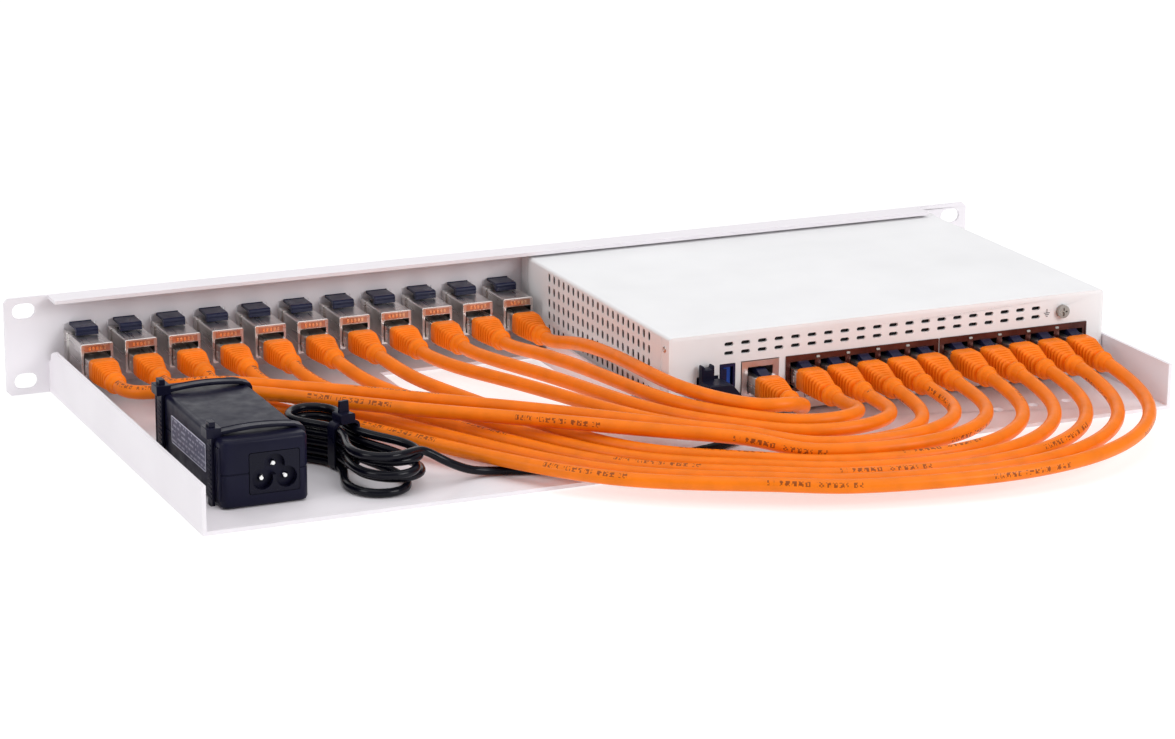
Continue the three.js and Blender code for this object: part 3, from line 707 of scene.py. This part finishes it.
def hank_points():
    """Turns that pass close together through the tie and open out at both ends."""
    points = []
    swings = [9, -10, 3, -6, 6]             # degrees, one for each turn
    reach = [40, 37, 42, 38, 40]            # how far each turn's rear end goes
    for n in range(HANK_LOOPS):
        z, s, r = HANK_FLOOR + HANK_LAYER * n, swings[n], reach[n]
        side = [(-28, 11.5), (-20, 9), (-12, 4.4), (-4, 3.2), (5, 5.6), (15, 10), (r - 16, 12.4),
                (r - 7, 11)]
        points += [hank_point(u, v, z, s) for u, v in side]
        points += [hank_point(r - 0.5, 5.5, z, s), hank_point(r + 0.5, -4, z, s)]
        back = [(r - 6, -10.8), (r - 15, -12.2), (15, -9.8), (5, -5.4), (-4, -3.2), (-12, -4.4),
                (-20, -9), (-28, -11.5)]
        if n == HANK_LOOPS - 1:
            break
        for m, (u, v) in enumerate(back):
            points.append(hank_point(u, v, z + HANK_LAYER * min(1, m / 5), s))
        top = z + HANK_LAYER
        points += [hank_point(-36, -8.5, top), hank_point(-40.5, -1, top),
                   hank_point(-36.5, 7.5, top)]
    return points


def add_dc_lead():
    hank = hank_points()
    top = hank[-1][2]
    leave = [hank_point(32, -13, top - 1.5), [115.5, 195.5, top - 5.5]]
    points = DC_START + hank + leave + DC_END
    path, length = spline(points, 2.2)
    mesh = cord_mesh("dc_cord", path, DC_DIAMETER / 2, 14)
    cord = finish_piece(mesh, "dc_cord", BLACK_JACKET,
                        replaces=["dc_lead_start", "dc_lead_hank", "dc_lead_end"])
    return cord, points, path, length


dc_cord, dc_points, dc_path, dc_length = add_dc_lead()


def add_hank_tie():
    """A moulded strap drawn tight round the waist of the hank, with its head on top."""
    form = Form()
    height = HANK_FLOOR + HANK_LAYER * (HANK_LOOPS - 1) + DC_DIAMETER / 2 + 0.3
    outer = rounded(-6.4, 6.4, 1.7, height + 1.1, 2.4)
    inner = rounded(-5.5, 5.5, 1.9, height, 2.0)

    def at(ring, u):
        return [hank_point(u, v, z) for v, z in ring]

    form.loft([at(outer, -7.2), at(outer, -2.2), at(inner, -2.2), at(inner, -7.2)], closed=True)
    head = rounded(-3.4, 3.4, height + 0.5, height + 4.6, 0.9)
    form.loft([at(head, -8.2), at(head, -1.2)])
    tail = [(-2.4, height + 4.2), (2.4, height + 4.2), (2.1, height + 9.5), (-2.1, height + 9.5)]
    form.loft([at(tail, -5.4), at(tail, -4.2)])
    return form.piece("hank_strap", TIE_NYLON, replaces=["hank_tie"])


def add_dc_plug():
    """The adapter's plug: a barrel, a plate with two horns, and a wedge that turns the cord
    down into its relief."""
    form = Form()
    form.turned("y", (-22.3, 16.4), ((152, 2.7), (163, 2.7)), 20)
    barrel = form.piece("dc_plug_barrel", CHROME)
    form = Form()
    horns = [(-17.4, 12.6), (-17.4, 28.7), (-18.5, 28.7), (-18.9, 27.3), (-21.8, 27.3),
             (-22.2, 28.7), (-23.3, 28.7), (-23.5, 12.6)]
    form.prism("y", horns, 161.8, 165.4)
    body = [(-16.3, 12.6), (-16.3, 20.4), (-17.4, 22.2), (-26.6, 22.2), (-28.6, 21.2),
            (-34.4, 14.4), (-38.8, 7.2), (-34.5, 4.9), (-28, 6.2), (-20.5, 10.6)]
    form.prism("y", body, 163.4, 173.4)
    grip = form.piece("dc_plug_grip", BLACK_PLASTIC, replaces=["dc_plug"])
    soften(grip, 0.7, 3)
    form = Form()
    profile = ((0, 3.3), (2, 3.1), (2.6, 2.6), (4.4, 2.9), (5.0, 2.5), (6.8, 2.7), (7.4, 2.3),
               (9.4, 2.4), (10, 1.9))
    form.loft([[(u, 172.2 + t * 0.9, v) for u, v in circle(-34.2, 8.4 - t * 0.25, r, 18)]
               for t, r in profile])
    relief = form.piece("dc_plug_relief", BLACK_PLASTIC)
    return [barrel, grip, relief]


add_hank_tie()
add_dc_plug()


# ---- couplers and latches ----
HOUSING_Z = (12.6, 27.1)
FRONT_MOUTH = (6.1, 13.9, 22.4)           # half width, floor and roof
REAR_MOUTH = (6.1, 13.5, 23.6)
CONTACT_COUNT = 8


def add_coupler(k):
    """A plated housing: a square tube with a dividing wall, a wider collar behind the panel,
    a flange in front of it and a raised rim round the rear socket. A painted tab fills the
    panel's hole above it."""
    number = f"{k + 1:02d}"
    x = coupler_x(k)
    z0, z1 = HOUSING_Z
    collar_bore = (6.95, z0 + 0.1, z1 - 0.1)
    form = Form()

    def tube(y0, y1, grow, hole):
        outer = rounded(x - 7.05 - grow, x + 7.05 + grow, z0 - grow, z1 + grow, 0.7)
        small = rounded(x - 6.85 - grow, x + 6.85 + grow, z0 + 0.2 - grow, z1 - 0.2 + grow, 0.6)
        inner = rounded(x - hole[0], x + hole[0], hole[1], hole[2], 0.4)
        rings = [(small, y0), (outer, y0 + 0.25), (outer, y1 - 0.25), (small, y1), (inner, y1),
                 (inner, y0)]
        form.loft([[(u, y, v) for u, v in ring] for ring, y in rings], closed=True)

    tube(-2.2, 9.2, 0, FRONT_MOUTH)
    tube(8.9, 26, 0, REAR_MOUTH)
    tube(24.7, 26.2, 0.22, REAR_MOUTH)
    tube(0.6, 5.6, 0.55, collar_bore)
    tube(6.2, 7.0, 0.25, collar_bore)
    form.prism("y", rounded(x - 6.3, x + 6.3, 13.2, 24.2, 0.4), 9.4, 13.4)
    mouth = rounded(x - FRONT_MOUTH[0], x + FRONT_MOUTH[0], *FRONT_MOUTH[1:], 0.4)
    flange = [(rounded(x - 8.5, x + 8.5, z0 - 1.5, z1 - 1, 1.0), -2.0),
              (rounded(x - 8.3, x + 8.3, z0 - 1.3, z1 - 1.2, 0.8), -2.35),
              (mouth, -2.35), (mouth, -1.9)]
    form.loft([[(u, y, v) for u, v in ring] for ring, y in flange], closed=True)
    form.piece(f"coupler_housing_{number}", NICKEL, replaces=[f"coupler_{number}"])

    form = Form()
    form.block(x - 6.9, x + 6.9, -1.6, -0.4, 26.6, 30.25)
    form.piece(f"coupler_tab_{number}", TRAY_PAINT)
    form = Form()
    form.prism("y", rounded(x - 5.7, x + 5.7, 23.9, 26.6, 0.3), 25.9, 26.3)
    form.piece(f"coupler_strip_{number}", COPPER)
    # pads on the strip over the rear socket, then contact wires in the front mouth
    form = Form()
    for i in range(5):
        left = x - 3.9 + i * 1.7
        form.prism("y", rounded(left, left + 1.0, 24.5, 26.0, 0.2), 26.1, 26.5)
    for i in range(CONTACT_COUNT):
        left = x - 3.9 + i * 1.02
        form.block(left, left + 0.4, -1.6, 7.5, 14.4, 14.9)
    form.piece(f"coupler_contacts_{number}", GOLD)


def add_latch(k):
    """The springy release clip: a leg on the coupler, a crease across it and a lipped top plate."""
    number = f"{k + 1:02d}"
    x = coupler_x(k)
    base = 27.45
    outline = [(9.5, base), (11.9, base), (12.0, base + 1.4), (11.7, base + 1.6),
               (12.0, base + 1.8), (12.0, 30.0), (11.7, 30.6), (11.0, 31.0), (1.6, 31.0),
               (0.9, 31.35), (0.6, 31.1), (0.6, 29.9), (8.2, 29.8), (9.1, 29.5), (9.5, 28.9)]
    form = Form()
    form.prism("x", outline, x - 5, x + 5)
    latch = form.piece(f"latch_clip_{number}", LATCH_PLASTIC, f"latch_{number}",
                       [f"coupler_latch_{number}"])
    soften(latch, 0.22, 2, 25)


for k in range(LEAD_COUNT):
    add_coupler(k)
    add_latch(k)


# ---- the firewall ----
BOX = (-219.9, -3.9, 7.9, 160.6, 3.2, 41.2)       # lowest and highest X, then Y, then Z
SHEET, THIN_SHEET = 1.0, 0.45                      # the cover, and where its vents are
VENT_COLUMNS, VENT_PITCH = 21, 5.37
VENT_ROWS = (37.3, 31.5, 25.5, 19.6, 13.4)
SEAM = (152.6, 152.95)
LIGHT_COUNT, LIGHT_PITCH = 14, 9


def slot_outline(cu, cv, width, height, steps=4):
    """An upright slot with round ends."""
    r = width / 2
    points = []
    for first, side in ((0, 1), (180, -1)):
        for i in range(steps + 1):
            a = math.radians(first + 180 * i / steps)
            points.append((cu + r * math.cos(a), cv + side * (height / 2 - r) + r * math.sin(a)))
    return points


def add_cover():
    """A folded sheet: a top and two sides. Each side has five rows of vents and a seam."""
    x0, x1, y0, y1, z0, z1 = BOX
    bend = 1.5
    inside = bend - SHEET
    outer, inner = [(x1, z0)], [(x1 - SHEET, z0)]
    for cx, first in ((x1 - bend, 0), (x0 + bend, 90)):
        for i in range(5):
            a = math.radians(first + 90 * i / 4)
            outer.append((cx + bend * math.cos(a), z1 - bend + bend * math.sin(a)))
            inner.append((cx + inside * math.cos(a), z1 - bend + inside * math.sin(a)))
    outer.append((x0, z0))
    inner.append((x0 + SHEET, z0))
    form = Form()
    form.prism("y", outer + inner[::-1], y0, y1 - 0.05)
    cover = form.piece("firewall_shell", CASING_PAINT,
                       replaces=["firewall_cover"], smooth=False)
    thin = Form()
    thin.block(x1 - 2, x1 - THIN_SHEET, 29.5, 144.5, 10.2, 39.6)
    thin.block(x0 + THIN_SHEET, x0 + 2, 29.5, 144.5, 10.2, 39.6)
    carve(cover, tool_from(thin))
    holes = Form()
    for column in range(VENT_COLUMNS):
        for z in VENT_ROWS:
            outline = slot_outline(33 + VENT_PITCH * column, z, 2.2, 4.0)
            holes.prism("x", outline, x1 - 4, x1 + 4)
            holes.prism("x", outline, x0 - 4, x0 + 4)
    holes.block(x1 - 0.3, x1 + 1, *SEAM, z0 - 1, z1 - 1.2)
    holes.block(x0 - 1, x0 + 0.3, *SEAM, z0 - 1, z1 - 1.2)
    carve(cover, tool_from(holes))
    cover.data.shade_smooth()
    cover.data.set_sharp_from_angle(angle=math.radians(25))
    soften(cover, 0.18, 1, 40)


def add_shell_details():
    """The rounded rim round the rear panel, two cover screws, and dark sheets behind the side
    and rear vents, painted shade for the dark inside of the case."""
    x0, x1, _, y1, z0, z1 = BOX

    def ring(inset, y, corner):
        outline = rounded(x0 + inset, x1 - inset, z0 + inset, z1 - inset, corner, 4)
        return [(u, y, v) for u, v in outline]

    form = Form()
    form.loft([ring(0.02, y1 - 1.6, 1.5), ring(0.02, y1 - 0.9, 1.5), ring(0.12, y1 - 0.45, 1.4),
               ring(0.4, y1 - 0.1, 1.2), ring(0.9, y1 + 0.03, 0.9), ring(2.1, y1 + 0.03, 0.3),
               ring(2.1, y1 - 1.6, 0.3)], closed=True)
    form.piece("firewall_rear_rim", CASING_PAINT)

    form = Form()
    for z in (35.5, 8.5):
        profile = ((-0.6, 1.5), (0.15, 1.5), (0.4, 1.2), (0.45, 0.6), (0.2, 0.5))
        form.turned("x", (156.2, z), [(x1 + t, r) for t, r in profile], 18)
    form.piece("cover_screws", NICKEL)

    # painted shade: dark sheets just inside the side and rear vents darken the inside seen through
    # them
    form = Form()
    form.block(x1 - 0.98, x1 - 0.55, 30, 144, 10.4, 39.4)
    form.block(x0 + 0.55, x0 + 0.98, 30, 144, 10.4, 39.4)
    form.block(-190, -28, y1 - 2.2, y1 - 1.6, 29, 38)
    form.piece("vent_shade_screens", RUBBER)


def add_rear_print():
    """Printed marks on the rear: a ground symbol, and short strokes where captions would be."""
    y0, y1 = 160.55, 160.72
    form = Form()
    gx, gz = -190.6, 33.2
    form.block(gx - 0.15, gx + 0.15, y0, y1, gz, gz + 1.9)
    for row, half in enumerate((1.5, 1.0, 0.45)):
        form.block(gx - half, gx + half, y0, y1, gz - 0.15 - row * 0.75, gz + 0.15 - row * 0.75)
    draw = random.Random(7)
    for cx, z, count in ((-14.0, 10.0, 5), (-47.0, 8.2, 7), (-71.0, 8.2, 3)):
        for i in range(count):
            x = cx + (i - count / 2) * 1.45
            form.block(x, x + 0.28, y0, y1, z, z + 1.6)
            level = z + draw.choice((0, 0.66, 1.32))
            form.block(x + 0.28, x + 1.0, y0, y1, level, level + 0.28)
            if draw.random() < 0.6:
                form.block(x + 0.8, x + 1.08, y0, y1, z, z + 1.6)
    form.piece("rear_print", PRINT_INK)


def add_port_details():
    """Each five-way port block's light pipes, and the rim round it."""
    for name, x0, x1, first in (("a", -135, -60.1, 1), ("b", -211, -136.3, 6)):
        form = Form()
        ports = PORTS[first:first + 5]
        for x in [(a + b) / 2 for a, b in zip(ports, ports[1:])]:
            form.prism("y", rounded(x - 0.8, x + 0.8, 25.6, 26.5, 0.3), 158, 161.5)
        form.piece(f"port_light_pipes_{name}", LENS)
        form = Form()
        # the rim takes the darkened nickel, painted shade
        outer = rounded(x0 - 0.3, x1 + 0.3, 11.2, 27.5, 0.4)
        inner = rounded(x0 + 0.4, x1 - 0.4, 11.9, 26.8, 0.3)
        rim = [(outer, 160.5), (outer, 161.2), (inner, 161.2), (inner, 160.5)]
        form.loft([[(u, y, v) for u, v in ring] for ring, y in rim], closed=True)
        form.piece(f"port_rim_{name}", PORT_SHADED_NICKEL)


def add_usb_tongue():
    """The blue tongue inside the USB socket."""
    form = Form()
    form.prism("y", rounded(-33.6, -30.4, 13.4, 25.6, 0.3), 150, 159.6)
    form.piece("usb_tongue", USB_BLUE)


def add_status_lights():
    """A row of small domed lenses in the front bezel."""
    form = Form()
    for i in range(LIGHT_COUNT):
        profile = ((2.4, 0.95), (0.8, 0.95), (0.55, 0.7), (0.48, 0.3))
        form.turned("y", (-179.9 + i * LIGHT_PITCH, 27.2), profile, 14)
    form.piece("status_lenses", LENS)


add_cover()
add_shell_details()
add_rear_print()
add_port_details()
add_usb_tongue()
add_status_lights()

# ---- the power adapter ----
BRICK = (170.3, 206.9, 105.0, 193.7, 1.9, 30.0)    # lowest and highest X, then Y, then Z
INLET_CENTRE = (184.9, 15.4)
LABEL = (129.5, 174.0, 12.0, 23.8)                 # lowest and highest Y, then Z


def add_adapter():
    """A moulded shell with rounded edges and a parting groove round its middle, its grip
    ribs, its label and the relief that its lead leaves by."""
    x0, x1, y0, y1, z0, z1 = BRICK
    middle = (z0 + z1) / 2
    corner, edge, line = 3.2, 1.6, 0.22

    profile = [(0, 1.7), (0.15, 0.95), (0.6, 0.35), (edge, 0)]
    heights = [(z0 + d, inset) for d, inset in profile]
    heights += [(middle - line - 0.25, 0), (middle - line, 0.2), (middle - line, 0.45),
                (middle + line, 0.45), (middle + line, 0.2), (middle + line + 0.25, 0)]
    heights += [(z1 - d, inset) for d, inset in reversed(profile)]
    form = Form()
    form.loft([[(u, v, z) for u, v in
                rounded(x0 + inset, x1 - inset, y0 + inset, y1 - inset, corner - inset * 0.6, 6)]
               for z, inset in heights])
    case = form.piece("adapter_shell", BLACK_PLASTIC, replaces=["adapter_case"],
                      smooth=False)
    mouth = Form()
    mouth.prism("y", rounded(174.2, 195.6, 6.9, 24.3, 0.9), y1 - 3, y1 + 2)
    carve(case, tool_from(mouth))
    case.data.shade_smooth()
    case.data.set_sharp_from_angle(angle=math.radians(35))

    form = Form()
    for y in (109.0, 111.2, 113.4, 186.4, 188.6, 190.4):
        form.prism("y", rounded(x1 - 0.4, x1 + 0.5, 5, 27, 0.4), y, y + 1.1)
    form.piece("adapter_ribs", BLACK_PLASTIC)

    form = Form()
    form.prism("x", rounded(*LABEL, 1.0), x1 - 0.1, x1 + 0.14)
    foil = rating_label("rating_label", LABEL[0] + ROW_Y, LABEL[1] + ROW_Y, *LABEL[2:])
    form.piece("adapter_label", foil)

    form = Form()
    profile = ((0.5, 4.2), (-1.5, 4.0), (-2.0, 3.3), (-3.4, 3.6), (-4.0, 3.0), (-5.4, 3.3),
               (-6.0, 2.7), (-7.4, 3.0), (-8.0, 2.4), (-9.6, 2.5), (-10.0, 1.95))
    form.turned("y", (188, 10), [(y0 + t, r) for t, r in profile], 20)
    form.piece("adapter_relief", BLACK_PLASTIC)


def add_inlet():
    """The three-pin mains inlet: a block with a clover-shaped well and three bright pins."""
    cx, cz = INLET_CENTRE
    y1 = BRICK[3] + 0.1
    form = Form()
    form.prism("y", rounded(174.45, 195.35, 7.15, 24.05, 0.8), y1 - 15, y1)
    inlet = form.piece("inlet_block", GLOSS_BLACK, replaces=["mains_inlet"],
                       smooth=False)
    spots = ((0, 3.3), (-5.0, -2.4), (5.0, -2.4))
    for du, dv in spots:
        well = Form()
        well.prism("y", circle(cx + du, cz + dv, 4.4, 32), y1 - 11.5, y1 + 2)
        carve(inlet, tool_from(well))
    inlet.data.shade_smooth()
    inlet.data.set_sharp_from_angle(angle=math.radians(30))
    soften(inlet, 0.25, 2, 40)
    form = Form()
    for du, dv in spots:
        profile = ((y1 - 12, 1.5), (y1 - 2.6, 1.5), (y1 - 1.9, 1.3), (y1 - 1.5, 0.8))
        form.turned("y", (cx + du, cz + dv), profile, 18)
    form.piece("inlet_pins", CHROME)


def add_strap(name, y, node):
    """A toothed strap over the adapter, its head on the corner by the tray's wall."""
    x0, x1, _, _, _, z1 = BRICK
    outer, inner = [], []
    steps = 14
    for i in range(steps + 1):
        f = i / steps
        x = x0 + (x1 - x0) * f
        rise = 1.4 * math.sin(math.pi * f)
        inner.append((x, z1 + 0.25 + rise))
        outer.append((x, z1 + 1.45 + rise))
    inner = [(x0 - 0.3, 0.3), (x0 - 0.3, z1 - 2.2)] + inner[1:-1] + [
        (x1 + 0.3, z1 - 2.2), (x1 + 0.3, 0.3)]
    outer = [(x0 - 1.5, 0.3), (x0 - 1.5, z1 - 1.0), (x0 - 0.6, z1 + 0.8)] + outer[1:-1] + [
        (x1 + 0.6, z1 + 0.8), (x1 + 1.5, z1 - 1.0), (x1 + 1.5, 0.3)]
    form = Form()
    form.prism("y", outer + inner[::-1], y - 2.9, y + 2.9)
    crown = outer[3:-3]
    rail = [(u, v + 0.25) for u, v in crown] + [(u, v - 0.4) for u, v in crown][::-1]
    for side in (-1, 1):
        form.prism("y", rail, y + side * 2.5 - 0.35, y + side * 2.5 + 0.35)
    for i in range(12):
        z = 4 + 2.0 * i
        form.block(x1 + 1.3, x1 + 1.8, y - 2.2, y + 2.2, z, z + 1.0)
    form.block(x1 - 2.6, x1 + 3.6, y - 3.7, y + 3.7, z1 - 0.2, z1 + 4.0)
    form.block(x1 - 0.6, x1 + 2.0, y - 2.3, y + 2.3, z1 + 3.8, z1 + 6.2)
    strap = form.piece(name, TIE_NYLON, replaces=[node])
    soften(strap, 0.3, 2, 35)


add_adapter()
add_inlet()
add_strap("adapter_strap_front", 118, "adapter_tie_front")
add_strap("adapter_strap_rear", 183, "adapter_tie_rear")

# ---- carried-over nodes ----
keep("rack_tray", TRAY_PAINT, 0.45, 3)
keep("firewall_base", CASING_PAINT, 0.15, 1)
keep("firewall_bezel", CASING_PAINT, 0.4, 2)
keep("main_board", BOARD, 0.1)
keep("heat_sink", ALUMINIUM, 0.15)
keep("console_jack", JACK_NICKEL, 0.25)
# the port blocks take the darkened nickel, painted shade
keep("port_block_a", PORT_SHADED_NICKEL, 0.2)
keep("port_block_b", PORT_SHADED_NICKEL, 0.2)
keep("usb_port", USB_SHELL, 0.2)
keep("dc_inlet", BLACK_PLASTIC, 0.3)
keep("ground_screw", STEEL, 0.3)
keep("reset_button", BLACK_PLASTIC, 0.2)
keep("adapter_board", BOARD, 0.1)
for foot in ("front_left", "front_right", "rear_left", "rear_right"):
    keep(f"foot_{foot}", RUBBER, 0.4)


# ---- floor ----
def add_floor():
    """A plain white floor, just under the object so that the two don't fight for one plane."""
    far, depth = 12.0, -0.0004
    mesh = bpy.data.meshes.new("floor")
    corners = [(-far, -far, depth), (far, -far, depth), (far, far, depth), (-far, far, depth)]
    mesh.from_pydata(corners, [], [(0, 1, 2, 3)])
    f = Finish("pale_floor")
    f.color(f.ramp(f.noise(400, 2), (0.3, (0.49, 0.49, 0.49)), (0.7, (0.51, 0.51, 0.51))))
    f.rough(f.span(f.noise(60, 3), 0.75, 0.85))
    f.set(Emission_Color=(1, 1, 1, 1), Emission_Strength=0.62)
    mesh.materials.append(f.material)
    floor = bpy.data.objects.new("floor", mesh)
    bpy.context.scene.collection.objects.link(floor)


add_floor()
